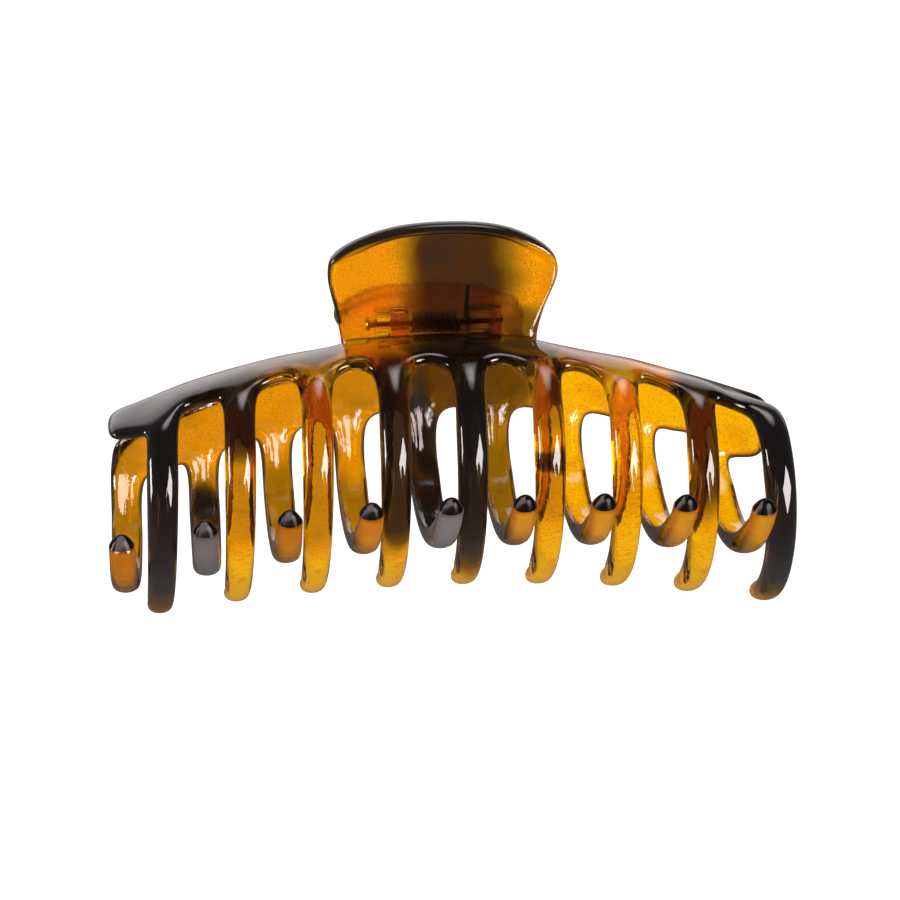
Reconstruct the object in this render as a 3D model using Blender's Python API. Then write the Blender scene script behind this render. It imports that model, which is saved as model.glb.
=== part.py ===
"""A large claw hair clip of translucent plastic, lying on its back, thumb levers away from the viewer.

Two alike jaws, turned half a turn about the upright axis between them, hinge on a steel pin that carries a
torsion spring. Each jaw is one moulded solid: thumb lever, arched spine plate, nine hooked teeth, hinge lugs.
The clip frame has x along the clip, y from the teeth to the levers, z from the rear jaw to the front jaw,
with the pin's axis at z = 0. The whole clip is then laid on the floor. Units are metres in the scene.
"""
import math

import bmesh
import bpy
import numpy as np
from mathutils import Matrix, Vector

MM = 0.001
LEVELS = 1                  # smoothing level of the moulded jaws

# spacing of the teeth, in mm
PITCH = 13.0
STAGGER = 0.24              # the front teeth stand this share of a pitch to the right of the middle
TEETH = 9
MID_X = -3.5                # middle of the front jaw's arch
HALF_X = 55.25              # half length that the arch's fall is measured over

# the curve of a tooth: where it leaves the spine, its first heading and its bending
TOOTH_Y, TOOTH_Y_FALL, TOOTH_Y_FALL4 = -1.4, -8.1, -0.5
TOOTH_Z, TOOTH_Z_FALL = 10.6, -0.9
TOOTH_HEAD, TOOTH_HEAD_RISE = 50.5, 5.3
TOOTH_BEND = (238.0, 189.0, 122.0, 127.0, 118.0)
TOOTH_LEN, TOOTH_LEN_FALL = 59.0, -3.4
TOOTH_FAN = (0.038, -0.011)
TOOTH_W = (6.1, 5.75, 5.1)
TOOTH_T = (4.3, 3.5)
TIP_AT = 0.955              # where the rounded end begins
CAP_W, CAP_T = 0.42, 0.36   # size of the cap's end face against the tooth's section
TOOTH_ROWS = (0.045, 0.17, 0.31, 0.46, 0.61, 0.76, 0.89)
DOME = 1.2                  # the cage stands this much prouder than the rounded back it makes
INNER_W = (0.94, 0.87, 0.8)   # width of the flat inner face against the tooth's, root to tip
INNER_CREASE = 0.4          # sharpness of the two edges of a tooth's flat inner face
# how far each tooth of a jaw stands to the side of its even place, at its root, in its middle and at its tip
FRONT_SET = (
    (0.0, 0.0, -0.2), (0.0, 0.0, 0.0), (0.0, 0.0, 0.1), (0.0, 0.1, 0.3), (0.0, 0.0, 0.3),
    (0.0, 0.1, 0.3), (0.1, 0.2, 0.4), (0.1, 0.2, 0.4), (-0.6, 0.5, 0.8),
)
REAR_SET = (
    (0.0, 0.0, 0.2), (-0.1, -0.15, -0.1), (-0.1, -0.15, 0.2), (-0.1, -0.15, 0.1), (-0.1, -0.3, -1.0),
    (-0.2, -0.5, -1.1), (-0.3, -0.7, -0.9), (-0.3, -0.7, -0.3), (0.2, -0.2, 0.0),
)

# spine plate
RIDGE_Y, RIDGE_FALL = 6.0, -11.9
RIDGE_Z = 1.9
LIP_Y, LIP_FALL, LIP_FALL4 = -3.3, -10.8, -0.5
LIP_Z, LIP_Z_FALL = 11.8, 0.4
LIP_LOWER = (1.1, 0.3, 0.0, 0.0, 0.0, 0.0, 0.3, 0.9)   # the gaps near the ends start this much lower
LIP_SLANT = (0.62, 0.78)    # direction in y and z across the lower edge
PLATE_T = 3.0
PLATE_BULGE = 0.35          # the middle row stands this far out of the straight line
RIDGE_EDGE = (2.7, 0.9)     # the inner side of the plate's upper edge: below the ridge by this, and at this z
CREASE_EDGE = (1.6, 1.0)    # the same under the lever
CREASE_BOW = 0.5            # the crease falls this much towards the lever's sides
CREASE_HALF = 17.0
CREASE_FALL = 0.04          # and on the right half by this share of the distance as well
END_X = -58.3
END_STEP = 4.3
END_LIP_Y = -15.3
END_LIP_Z = 11.2
# how far down a tooth the lower edge meets it, where that isn't the first row of the tooth
ROOT_SHARE = {("L", 1): 0.135, ("L", 2): 0.066, ("R", 8): 0.07}
FRONT_END_CUT = (5.2, 3.4)   # the right end's upper corner is rounded off by this much
REAR_END_CUT = (0.8, 0.8)

# thumb lever: a flat plate leaning out from the crease, and its thicker rim
CREASE_Y, CREASE_Z = 5.4, 3.8
LEVER_LEAN = math.radians(36.6)
LEVER_SHIFT = (-0.4, 0.06)   # sideways shift of the lever at its base, and its growth up the lever
REAR_LEVER_WIDTH = 0.845    # nothing of the rear lever shows beside the front one
LEVER_T = 2.3
LEVER_BACK = 0.2            # the lever's back ends this much below its rim
RIM_RISE = (0.0, 0.0, 0.0, 1.5, 1.3)        # the rim along the top, row by row
SIDE_RISE = (0.35, 0.6, 0.75, 1.0, 1.0)     # the rim along the sides
# how much lower the upper corners are, column by column
CORNER_DROP = (1.1, 0.5, 0.0, 0.0, 0.0, 0.0, 0.0, 0.8, 1.7)
RIGHT_WIDER = (0.25, 0.7, 0.3, 0.0, 0.0)      # the lever's right side stands this much further out
FOLD = 0.8                  # sharpness of the crease and of the rim's foot
LEVER_LINES = (("M", 3), ("L", 4), ("R", 4), ("M", 4), ("L", 5), ("R", 5), ("M", 5), ("L", 6), ("R", 6))
LEVER_BASE_X = (-17.2, -15.2, -8.8, -4.4, -0.2, 4.4, 9.0, 14.4, 16.3)
# half rows from the middle outwards, as x and distance up the lever
LEVER_ROWS = (
    ((0.0, 4.6), (5.0, 4.6), (10.0, 4.6), (16.8, 4.6), (18.2, 4.6)),
    ((0.0, 10.0), (5.2, 10.0), (10.6, 9.8), (18.5, 9.5), (19.9, 9.5)),
    ((0.0, 17.9), (5.4, 17.7), (10.9, 16.8), (17.7, 13.9), (20.0, 13.4)),
    ((0.0, 18.3), (5.5, 18.1), (11.1, 17.2), (17.4, 14.9), (19.8, 14.8)),
    ((0.0, 20.2), (5.6, 20.0), (11.2, 19.1), (16.6, 17.4), (18.9, 16.1)),
)

# hinge
PIN_Y = 9.6
PIN_R = 0.65
PIN_ENDS = (-12.1, 11.5)
HEAD_R, HEAD_T = 1.15, 0.6
PIN_EDGE = 0.2              # bevel of the pin's ends
BORE_R = 0.95
LUG_R = 2.7
LUGS = ((-11.0, -8.8), (5.4, 8.4))

# spring
WIRE_R = 0.42
COIL_R = 1.62
COIL_X = (-4.5, 3.6)
COIL_LEAD = 0.45            # angle in radians by which the coil begins before the leg's foot
TURNS = 8.25
LEG_X = 4.75
LEG_FOOT = (0.1, 0.9)       # the leg's foot: this far off the coil, and this far up the lever
LEG_TOUCH = 3.4             # where it meets the lever, and its end
LEG_REACH = 7.0
LEG_CLEAR = 0.3
LEG_SPLAY = 0.3

# the clip as it lies on its back, on the rear lever's rim and two tips of the front jaw: turned about x
# by this many degrees, then about y, and moved in mm so that the floor is at z = 0 and the middle of its
# outline at x = y = 0
LAY_X = -7.842
LAY_Y = -0.131
LIFT = (-0.385, 8.734, 18.879)


def lay():
    turn = Matrix.Rotation(math.radians(LAY_Y), 4, "Y") @ Matrix.Rotation(math.radians(LAY_X), 4, "X")
    return Matrix.Translation(Vector(LIFT) * MM) @ turn


def lever_ways():
    """Unit vectors up the front lever and out of its face."""
    up = Vector((0.0, math.cos(LEVER_LEAN), math.sin(LEVER_LEAN)))
    out = Vector((0.0, -math.sin(LEVER_LEAN), math.cos(LEVER_LEAN)))
    return up, out


def tooth_x(i):
    return PITCH * (i - (TEETH + 1) / 2) + STAGGER * PITCH


def tooth_set(i, side, q):
    return float(np.interp(q, (0.0, 0.4, 1.0), (FRONT_SET if side > 0 else REAR_SET)[i - 1]))


def fall(x):
    return (x - MID_X) / HALF_X


def tooth_curve(i):
    """A function of the share q of a tooth's length: its centre (x, y, z) and outward direction (y, z)."""
    r = fall(tooth_x(i))
    steps = 240
    ds = 1.0 / steps
    s = np.linspace(0.0, 1.0, steps + 1)
    bend = np.interp(s, (0.0, 0.25, 0.5, 0.75, 1.0), TOOTH_BEND)
    turned = np.concatenate([[0.0], np.cumsum((bend[1:] + bend[:-1]) / 2 * ds)])
    head = np.radians(TOOTH_HEAD + TOOTH_HEAD_RISE * r * r + turned)
    length = TOOTH_LEN + TOOTH_LEN_FALL * r * r
    down = np.concatenate([[0.0], np.cumsum((np.sin(head[1:]) + np.sin(head[:-1])) / 2 * ds)]) * length
    out = np.concatenate([[0.0], np.cumsum((np.cos(head[1:]) + np.cos(head[:-1])) / 2 * ds)]) * length
    y0 = TOOTH_Y + TOOTH_Y_FALL * r ** 2 + TOOTH_Y_FALL4 * r ** 4
    z0 = TOOTH_Z + TOOTH_Z_FALL * r ** 2

    def at(q):
        h = np.interp(q, s, head)
        x = tooth_x(i) * (1 + TOOTH_FAN[0] * q + TOOTH_FAN[1] * q * q)
        return x, y0 - np.interp(q, s, down), z0 + np.interp(q, s, out), math.cos(h), math.sin(h)

    return at


def tooth_width(q):
    return float(np.interp(q, (0.0, 0.4, 1.0), TOOTH_W))


def tooth_depth(q):
    return float(np.interp(q, (0.0, 1.0), TOOTH_T))


def inner_width(q):
    return float(np.interp(q, (0.0, 0.4, 1.0), INNER_W))


def column_lines():
    """The lines down the spine plate: its left end, then both sides of each tooth and each gap's middle."""
    lines = [("E", 0), ("E", 1)]
    for i in range(1, TEETH + 1):
        lines += [("L", i), ("R", i)]
        if i < TEETH:
            lines.append(("M", i))
    return lines


def line_x(line, side):
    kind, i = line
    half = tooth_width(0.0) / 2
    if kind == "E":
        return END_X + END_STEP * i
    if kind == "L":
        return tooth_x(i) + tooth_set(i, side, 0.0) - half
    if kind == "R":
        return tooth_x(i) + tooth_set(i, side, 0.0) + half
    return (tooth_x(i) + tooth_x(i + 1)) / 2


def end_cut(side):
    return FRONT_END_CUT if side > 0 else REAR_END_CUT


def ridge_point(line, x, side):
    """Outer and inner points of the plate's upper row."""
    if line in LEVER_LINES:
        y = CREASE_Y - CREASE_BOW * (x / CREASE_HALF) ** 2 - CREASE_FALL * max(x, 0.0)
        return (y, CREASE_Z), (y - CREASE_EDGE[0], CREASE_EDGE[1])
    y = RIDGE_Y + RIDGE_FALL * fall(x) ** 2
    if line == ("R", TEETH):
        y -= end_cut(side)[1]
    return (y, RIDGE_Z), (y - RIDGE_EDGE[0], RIDGE_EDGE[1])


def lip_point(line, x):
    """Outer and inner points of the plate's lower row."""
    kind, i = line
    if kind in "LR":
        at = tooth_curve(i)
        q = ROOT_SHARE.get(line, TOOTH_ROWS[0])
        _, y, z, ny, nz = at(q)
        t = tooth_depth(q) / 2
        return (y + DOME * t * ny, z + DOME * t * nz), (y - t * ny, z - t * nz)
    if kind == "E":
        y, z = END_LIP_Y, END_LIP_Z
    else:
        r = fall(x)
        y = LIP_Y + LIP_FALL * r ** 2 + LIP_FALL4 * r ** 4 - LIP_LOWER[i - 1]
        z = LIP_Z + LIP_Z_FALL * r ** 2
    return (y + LIP_SLANT[0] * PLATE_T, z + LIP_SLANT[1] * PLATE_T), (y, z)


def cage(side):
    """The coarse cage of a jaw as it stands in front, in mm, with its sharp edges; the rear's side is -1."""
    bm = bmesh.new()
    sharp = bm.edges.layers.float.new("crease_edge")
    lines = column_lines()
    vert = {}

    def put(key, x, y, z):
        vert[key] = bm.verts.new((x, y, z))

    base_x = dict(zip(LEVER_LINES, LEVER_BASE_X))
    for line in lines:
        x = line_x(line, side)
        top = base_x.get(line, x)
        if line == ("R", TEETH):
            top -= end_cut(side)[0]
        (oy, oz), (iy, iz) = ridge_point(line, top, side)
        (py, pz), (qy, qz) = lip_point(line, x)
        put(("O", line, 0), top, oy, oz)
        put(("I", line, 0), top, iy, iz)
        put(("O", line, 2), x, py, pz)
        put(("I", line, 2), x, qy, qz)
        slope = math.atan2(oy - py, pz - oz)
        my = (oy + py) / 2 + PLATE_BULGE * math.cos(slope)
        mz = (oz + pz) / 2 + PLATE_BULGE * math.sin(slope)
        mx = (x + top) / 2
        put(("O", line, 1), mx, my, mz)
        put(("I", line, 1), mx, my - PLATE_T * math.cos(slope), mz - PLATE_T * math.sin(slope))

    # lever
    up, out = lever_ways()
    width = 1.0 if side > 0 else REAR_LEVER_WIDTH
    for m, row in enumerate(LEVER_ROWS):
        for k, line in enumerate(LEVER_LINES):
            x, a = row[abs(k - 4)]
            if m > 1:
                a -= CORNER_DROP[k]
            x = LEVER_SHIFT[0] + LEVER_SHIFT[1] * a + math.copysign(x, k - 4) * width
            if k == 8:
                x += RIGHT_WIDER[m]
            rise = (SIDE_RISE if abs(k - 4) == 4 else RIM_RISE)[m]
            b = a - LEVER_BACK if m == 4 else a
            for face, along, off in (("O", a, rise), ("I", b, -LEVER_T)):
                y = CREASE_Y + along * up.y + off * out.y
                z = CREASE_Z + along * up.z + off * out.z
                put((face, line, -1 - m), x, y, z)

    # teeth
    rows = list(TOOTH_ROWS[1:]) + [TIP_AT, 1.0]
    ring = 1 + len(rows)
    for i in range(1, TEETH + 1):
        at = tooth_curve(i)
        for j, q in enumerate(rows):
            x, y, z, ny, nz = at(q)
            x += tooth_set(i, side, q)
            w = tooth_width(q) / 2
            t = tooth_depth(q) / 2
            if q == 1.0:
                w, t = w * CAP_W, t * CAP_T
            inner = w * inner_width(q)
            for hand, sx in (("L", -1.0), ("R", 1.0)):
                put(("O", (hand, i), 3 + j), x + sx * w, y + DOME * t * ny, z + DOME * t * nz)
                put(("I", (hand, i), 3 + j), x + sx * inner, y - t * ny, z - t * nz)

    def quad(*keys):
        bm.faces.new([vert[k] for k in keys])

    def both(a, b, r0, r1):
        quad(("O", a, r0), ("O", a, r1), ("O", b, r1), ("O", b, r0))
        quad(("I", a, r0), ("I", b, r0), ("I", b, r1), ("I", a, r1))

    def rim(a, ra, b, rb):
        quad(("O", a, ra), ("O", b, rb), ("I", b, rb), ("I", a, ra))

    for a, b in zip(lines[:-1], lines[1:]):
        both(a, b, 0, 1)
        both(a, b, 1, 2)
        is_tooth = a[0] == "L" and b[0] == "R"
        if not is_tooth:
            rim(a, 2, b, 2)
        in_lever = a in LEVER_LINES and b in LEVER_LINES
        if in_lever:
            for m in range(len(LEVER_ROWS)):
                both(a, b, -m, -m - 1)
            rim(a, -len(LEVER_ROWS), b, -len(LEVER_ROWS))
        else:
            rim(a, 0, b, 0)
    for end in (lines[0], lines[-1]):
        rim(end, 0, end, 1)
        rim(end, 1, end, 2)
    for end in (LEVER_LINES[0], LEVER_LINES[-1]):
        for m in range(len(LEVER_ROWS)):
            rim(end, -m, end, -m - 1)
    for i in range(1, TEETH + 1):
        a, b = ("L", i), ("R", i)
        for j in range(2, ring + 1):
            both(a, b, j, j + 1)
            rim(a, j, a, j + 1)
            rim(b, j, b, j + 1)
        rim(a, ring + 1, b, ring + 1)

    def crease(k0, k1, weight):
        edge = bm.edges.get((vert[k0], vert[k1]))
        edge[sharp] = weight

    for i in range(1, TEETH + 1):
        a, b = ("L", i), ("R", i)
        crease(("O", a, ring), ("O", b, ring), 1.0)
        crease(("I", a, ring), ("I", b, ring), 1.0)
        crease(("O", a, ring), ("I", a, ring), 1.0)
        crease(("O", b, ring), ("I", b, ring), 1.0)
        for j in range(3, ring - 1):
            crease(("I", a, j), ("I", a, j + 1), INNER_CREASE)
            crease(("I", b, j), ("I", b, j + 1), INNER_CREASE)
    for a, b in zip(LEVER_LINES[:-1], LEVER_LINES[1:]):
        crease(("O", a, 0), ("O", b, 0), FOLD)
        if a != LEVER_LINES[0] and b != LEVER_LINES[-1]:
            crease(("O", a, -3), ("O", b, -3), FOLD)
    for a in (LEVER_LINES[0], LEVER_LINES[-1]):
        crease(("O", a, 0), ("I", a, 0), FOLD)
    bmesh.ops.recalc_face_normals(bm, faces=bm.faces)
    return bm


def place(side):
    """The clip frame in mm to the scene in metres; side -1 turns half a turn about y for the rear jaw."""
    turn = Matrix.Rotation(math.pi, 4, "Y") if side < 0 else Matrix.Identity(4)
    return lay() @ Matrix.Scale(MM, 4) @ turn


def pivot():
    return lay() @ (Vector((0.0, PIN_Y, 0.0)) * MM)


def add_mesh(name, bm, material, smooth=True, origin=None, parent=None):
    spot = origin if origin is not None else Vector((0.0, 0.0, 0.0))
    bmesh.ops.translate(bm, verts=bm.verts, vec=-spot)
    mesh = bpy.data.meshes.new(name)
    bm.to_mesh(mesh)
    bm.free()
    mesh.polygons.foreach_set("use_smooth", [smooth] * len(mesh.polygons))
    obj = bpy.data.objects.new(name, mesh)
    bpy.context.scene.collection.objects.link(obj)
    if material is not None:
        mesh.materials.append(material)
    if parent is not None:
        obj.parent = parent
        obj.matrix_parent_inverse = parent.matrix_world.inverted()
    obj.location = spot
    return obj


def ring_points(centre, u, v, r, n):
    angles = [2 * math.pi * k / n for k in range(n)]
    return [centre + u * (r * math.cos(a)) + v * (r * math.sin(a)) for a in angles]


def lug_mesh(arc):
    """Both hinge lugs of the front jaw: ends rounded in this many steps, arms into the lever, bores."""
    bm = bmesh.new()
    up, out = lever_ways()
    pin = Vector((0.0, PIN_Y, 0.0))
    to_plate = (Vector((0.0, CREASE_Y, CREASE_Z)) - pin).dot(out) - LEVER_T * 0.5
    for x0, x1 in LUGS:
        outline = []
        for k in range(arc + 1):
            a = math.pi * k / arc
            outline.append(pin + up * (LUG_R * math.cos(a)) - out * (LUG_R * math.sin(a)))
        outline.append(pin - up * LUG_R + out * to_plate)
        outline.append(pin + up * LUG_R + out * to_plate)
        n = len(outline)
        bore = [pin + (p - pin).normalized() * BORE_R for p in outline]
        rings = []
        for x in (x0, x1):
            outer = [bm.verts.new(p + Vector((x, 0, 0))) for p in outline]
            inner = [bm.verts.new(p + Vector((x, 0, 0))) for p in bore]
            rings.append((outer, inner))
        for k in range(n):
            m = (k + 1) % n
            (o0, i0), (o1, i1) = rings
            bm.faces.new((o0[k], o0[m], o1[m], o1[k]))
            bm.faces.new((i0[k], i1[k], i1[m], i0[m]))
            bm.faces.new((o0[k], i0[k], i0[m], o0[m]))
            bm.faces.new((o1[k], o1[m], i1[m], i1[k]))
    bmesh.ops.recalc_face_normals(bm, faces=bm.faces)
    return bm


def sweep(points, radius, sides):
    """A closed round tube through the points."""
    bm = bmesh.new()
    pts = [Vector(p) for p in points]
    n = len(pts)
    tangents = []
    for k in range(n):
        a = pts[max(k - 1, 0)]
        b = pts[min(k + 1, n - 1)]
        tangents.append((b - a).normalized())
    normal = tangents[0].orthogonal().normalized()
    rings = []
    for k in range(n):
        t = tangents[k]
        normal = (normal - t * normal.dot(t)).normalized()
        rings.append([bm.verts.new(p) for p in ring_points(pts[k], normal, t.cross(normal), radius, sides)])
    for a, b in zip(rings[:-1], rings[1:]):
        for k in range(sides):
            m = (k + 1) % sides
            bm.faces.new((a[k], a[m], b[m], b[k]))
    bm.faces.new(list(reversed(rings[0])))
    bm.faces.new(rings[-1])
    bmesh.ops.recalc_face_normals(bm, faces=bm.faces)
    return bm


def turned(profile, axis_y, sides):
    """A body turned about the pin's axis from (x, radius) pairs, closed at both ends."""
    bm = bmesh.new()
    rings = []
    for x, r in profile:
        c = Vector((x, axis_y, 0.0))
        ring = ring_points(c, Vector((0, 1, 0)), Vector((0, 0, 1)), r, sides)
        rings.append([bm.verts.new(p) for p in ring])
    for a, b in zip(rings[:-1], rings[1:]):
        for k in range(sides):
            m = (k + 1) % sides
            bm.faces.new((a[k], b[k], b[m], a[m]))
    bm.faces.new(rings[0])
    bm.faces.new(list(reversed(rings[-1])))
    bmesh.ops.recalc_face_normals(bm, faces=bm.faces)
    return bm


def leg_points():
    """The front spring leg: off the coil's end and up the inside of the front lever."""
    up, out = lever_ways()
    pin = Vector((LEG_X, PIN_Y, 0.0))
    to_face = (Vector((0.0, CREASE_Y, CREASE_Z)) - pin).dot(out) - LEVER_T
    off = to_face - WIRE_R - LEG_CLEAR
    foot = pin + out * (COIL_R + LEG_FOOT[0]) + up * LEG_FOOT[1]
    touch = pin + out * off + up * LEG_TOUCH
    tip = pin + out * off + up * LEG_REACH + Vector((LEG_SPLAY, 0.0, 0.0))
    return [foot, foot.lerp(touch, 0.5), touch, tip]


def coil_points(per):
    """The coil about the pin in this many steps a turn, and the rear leg: the front one turned about y."""
    turn = Matrix.Rotation(math.pi, 4, "Y")
    out = lever_ways()[1]
    leg = [turn @ p for p in leg_points()]
    pts = [leg[3], leg[2], leg[1]]
    start = math.atan2(-out.z, out.y) - COIL_LEAD
    total = round(TURNS * per)
    sweep_angle = 2 * math.pi * TURNS
    for k in range(total + 1):
        f = k / total
        a = start - sweep_angle * f
        x = COIL_X[0] + (COIL_X[1] - COIL_X[0]) * f
        pts.append(Vector((x, PIN_Y + COIL_R * math.cos(a), COIL_R * math.sin(a))))
    return pts


def pin_mesh(sides):
    """The pin with its head at the left end."""
    head, end = PIN_ENDS
    profile = ((head - HEAD_T, HEAD_R - PIN_EDGE), (head - HEAD_T + PIN_EDGE, HEAD_R), (head, HEAD_R),
               (head, PIN_R), (end - PIN_EDGE, PIN_R), (end, PIN_R - PIN_EDGE))
    return turned(profile, PIN_Y, sides)


def material(name, colour, metallic, roughness, transmission):
    mat = bpy.data.materials.new(name)
    mat.use_nodes = True
    node = mat.node_tree.nodes["Principled BSDF"]
    node.inputs["Base Color"].default_value = (*colour, 1.0)
    node.inputs["Metallic"].default_value = metallic
    node.inputs["Roughness"].default_value = roughness
    node.inputs["Transmission Weight"].default_value = transmission
    return mat


def main():
    for obj in list(bpy.data.objects):
        bpy.data.objects.remove(obj, do_unlink=True)

    amber = material("tortoiseshell_plastic", (0.42, 0.17, 0.03), 0.0, 0.12, 0.5)
    steel = material("hinge_steel", (0.55, 0.55, 0.56), 1.0, 0.3, 0.0)

    hinge = bpy.data.objects.new("front_hinge", None)
    bpy.context.scene.collection.objects.link(hinge)
    hinge.location = pivot()
    bpy.context.view_layer.update()

    for name, side in (("front_jaw", 1), ("rear_jaw", -1)):
        parent = hinge if side > 0 else None
        origin = pivot() if side > 0 else None
        bm = cage(side)
        bmesh.ops.transform(bm, matrix=place(side), verts=bm.verts)
        jaw = add_mesh(name, bm, amber, True, origin, parent)
        lm = lug_mesh(12)
        bmesh.ops.transform(lm, matrix=place(side), verts=lm.verts)
        lugs = add_mesh(name + "_lug_stock", lm, amber, False, origin, parent)
        lugs.hide_render = True
        lugs.display_type = "WIRE"
        mod = jaw.modifiers.new("smooth", "SUBSURF")
        mod.levels = LEVELS
        mod.render_levels = LEVELS
        cut = jaw.modifiers.new("lugs", "BOOLEAN")
        cut.operation = "UNION"
        cut.solver = "EXACT"
        cut.object = lugs

    whole = lay() @ Matrix.Scale(MM, 4)
    pin = pin_mesh(16)
    bmesh.ops.transform(pin, matrix=whole, verts=pin.verts)
    add_mesh("hinge_pin", pin, steel)
    coil = sweep(coil_points(12), WIRE_R, 6)
    bmesh.ops.transform(coil, matrix=whole, verts=coil.verts)
    add_mesh("spring_coil", coil, steel)
    leg = sweep(leg_points(), WIRE_R, 6)
    bmesh.ops.transform(leg, matrix=whole, verts=leg.verts)
    add_mesh("spring_front_leg", leg, steel, True, pivot(), hinge)


main()
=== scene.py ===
"""Looks of a large translucent claw hair clip that lies on its back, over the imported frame."""
import math

import bmesh
import bpy
import numpy as np
from mathutils import Matrix, Vector
from mathutils.kdtree import KDTree


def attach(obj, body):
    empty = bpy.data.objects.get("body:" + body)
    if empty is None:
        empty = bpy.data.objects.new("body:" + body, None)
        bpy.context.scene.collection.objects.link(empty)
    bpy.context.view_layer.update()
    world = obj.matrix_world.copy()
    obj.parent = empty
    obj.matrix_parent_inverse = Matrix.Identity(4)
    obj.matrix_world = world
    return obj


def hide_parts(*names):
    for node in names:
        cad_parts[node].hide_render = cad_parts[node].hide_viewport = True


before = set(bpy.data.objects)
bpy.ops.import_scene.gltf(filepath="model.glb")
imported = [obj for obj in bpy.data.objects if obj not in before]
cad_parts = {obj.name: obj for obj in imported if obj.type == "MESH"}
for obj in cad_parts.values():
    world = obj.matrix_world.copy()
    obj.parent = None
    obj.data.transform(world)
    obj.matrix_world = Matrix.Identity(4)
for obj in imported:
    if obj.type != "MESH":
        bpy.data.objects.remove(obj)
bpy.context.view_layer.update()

MM = 0.001
LEVELS = 3     # smoothing level of the moulded jaws
ROUND = 40    # sides of the turned steel pieces
LUG_ARC = 40                # steps round a hinge lug's end
COIL_STEPS = 36             # steps in a turn of the spring
WIRE_SIDES = 14
SHARP_FROM = math.radians(32)   # a bend sharper than this shows as an edge

# spacing of the teeth, in mm
PITCH = 13.0
STAGGER = 0.24              # the front teeth stand this share of a pitch to the right of the middle
TEETH = 9
MID_X = -3.5                # middle of the front jaw's arch
HALF_X = 55.25              # half length that the arch's fall is measured over

# the curve of a tooth: where it leaves the spine, its first heading and its bending
TOOTH_Y, TOOTH_Y_FALL, TOOTH_Y_FALL4 = -1.4, -8.1, -0.5
TOOTH_Z, TOOTH_Z_FALL = 10.6, -0.9
TOOTH_HEAD, TOOTH_HEAD_RISE = 50.5, 5.3
TOOTH_BEND = (238.0, 189.0, 122.0, 127.0, 118.0)
TOOTH_LEN, TOOTH_LEN_FALL = 59.0, -3.4
TOOTH_FAN = (0.038, -0.011)
TOOTH_W = (6.1, 5.75, 5.1)
TOOTH_T = (4.3, 3.5)
TIP_AT = 0.955              # where the rounded end begins
CAP_W, CAP_T = 0.42, 0.36   # size of the cap's end face against the tooth's section
TOOTH_ROWS = (0.045, 0.17, 0.31, 0.46, 0.61, 0.76, 0.89)
TOOTH_AT = (0.0, 0.4, 1.0)  # root, middle and tip, where widths and places to the side are given
TOOTH_END = len(TOOTH_ROWS) + 3             # the last row of a tooth's points, counted from the ridge
TIP_FROM, TIP_FULL = TOOTH_END - 4, TOOTH_END - 2   # the mark of the tip grows between these rows
DOME = 1.2                  # the cage stands this much prouder than the rounded back it makes
INNER_W = (0.94, 0.87, 0.8)   # width of the flat inner face against the tooth's, root to tip
INNER_CREASE = 0.4          # sharpness of the two edges of a tooth's flat inner face
# how far each tooth of a jaw stands to the side of its even place, at its root, in its middle and at its tip
FRONT_SET = (
    (0.0, 0.0, -0.2), (0.0, 0.0, 0.0), (0.0, 0.0, 0.1), (0.0, 0.1, 0.3), (0.0, 0.0, 0.3),
    (0.0, 0.1, 0.3), (0.1, 0.2, 0.4), (0.1, 0.2, 0.4), (-0.6, 0.5, 0.8),
)
REAR_SET = (
    (0.0, 0.0, 0.2), (-0.1, -0.15, -0.1), (-0.1, -0.15, 0.2), (-0.1, -0.15, 0.1), (-0.1, -0.3, -1.0),
    (-0.2, -0.5, -1.1), (-0.3, -0.7, -0.9), (-0.3, -0.7, -0.3), (0.2, -0.2, 0.0),
)

# spine plate
RIDGE_Y, RIDGE_FALL = 6.0, -11.9
RIDGE_Z = 1.9
LIP_Y, LIP_FALL, LIP_FALL4 = -3.3, -10.8, -0.5
LIP_Z, LIP_Z_FALL = 11.8, 0.4
LIP_LOWER = (1.1, 0.3, 0.0, 0.0, 0.0, 0.0, 0.3, 0.9)   # the gaps near the ends start this much lower
LIP_SLANT = (0.62, 0.78)    # direction in y and z across the lower edge
PLATE_T = 3.0
PLATE_BULGE = 0.35          # the middle row stands this far out of the straight line
RIDGE_EDGE = (2.7, 0.9)     # the inner side of the plate's upper edge: below the ridge by this, and at this z
CREASE_EDGE = (1.6, 1.0)    # the same under the lever
CREASE_BOW = 0.5            # the crease falls this much towards the lever's sides
CREASE_HALF = 17.0
CREASE_FALL = 0.04          # and on the right half by this share of the distance as well
END_X = -58.3
END_STEP = 4.3
END_LIP_Y = -15.3
END_LIP_Z = 11.2
# how far down a tooth the lower edge meets it, where that isn't the first row of the tooth
ROOT_SHARE = {("L", 1): 0.135, ("L", 2): 0.066, ("R", 8): 0.07}
FRONT_END_CUT = (5.2, 3.4)   # the right end's upper corner is rounded off by this much
REAR_END_CUT = (0.8, 0.8)

# thumb lever: a flat plate leaning out from the crease, and its thicker rim
CREASE_Y, CREASE_Z = 5.4, 3.8
LEVER_LEAN = math.radians(36.6)
LEVER_SHIFT = (-0.4, 0.06)   # sideways shift of the lever at its base, and its growth up the lever
REAR_LEVER_WIDTH = 0.845    # nothing of the rear lever shows beside the front one
LEVER_T = 2.3
LEVER_BACK = 0.2            # the lever's back ends this much below its rim
RIM_RISE = (0.0, 0.0, 0.0, 1.5, 1.3)        # the rim along the top, row by row
SIDE_RISE = (0.35, 0.6, 0.75, 1.0, 1.0)     # the rim along the sides
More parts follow.
